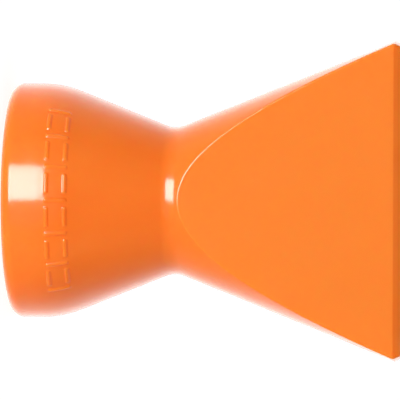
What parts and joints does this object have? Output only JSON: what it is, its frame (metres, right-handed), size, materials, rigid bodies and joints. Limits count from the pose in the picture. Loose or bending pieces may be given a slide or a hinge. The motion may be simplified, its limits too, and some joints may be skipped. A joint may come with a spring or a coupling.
{
  "type": "flare nozzle",
  "caption": "One-piece plastic nozzle for snap-together coolant or air hose: a round socket that snaps over a ball, a narrow waist, and a flare that ends in a wide flat slot.",
  "frame": {"origin": "centre of the ball socket's rim plane, which the nozzle stands on", "axes": "+Z along the nozzle's axis from the socket's rim to the slot mouth, X along the wide way of the slot, Y across its thin way, with the raised marks facing -Y"},
  "size_m": [0.0352, 0.0258, 0.0434],
  "materials": {
    "orange_acetal": "moulded gloss orange acetal"
  },
  "bodies": {
    "root": {"nozzle_body": "orange_acetal"}
  },
  "joints": []
}
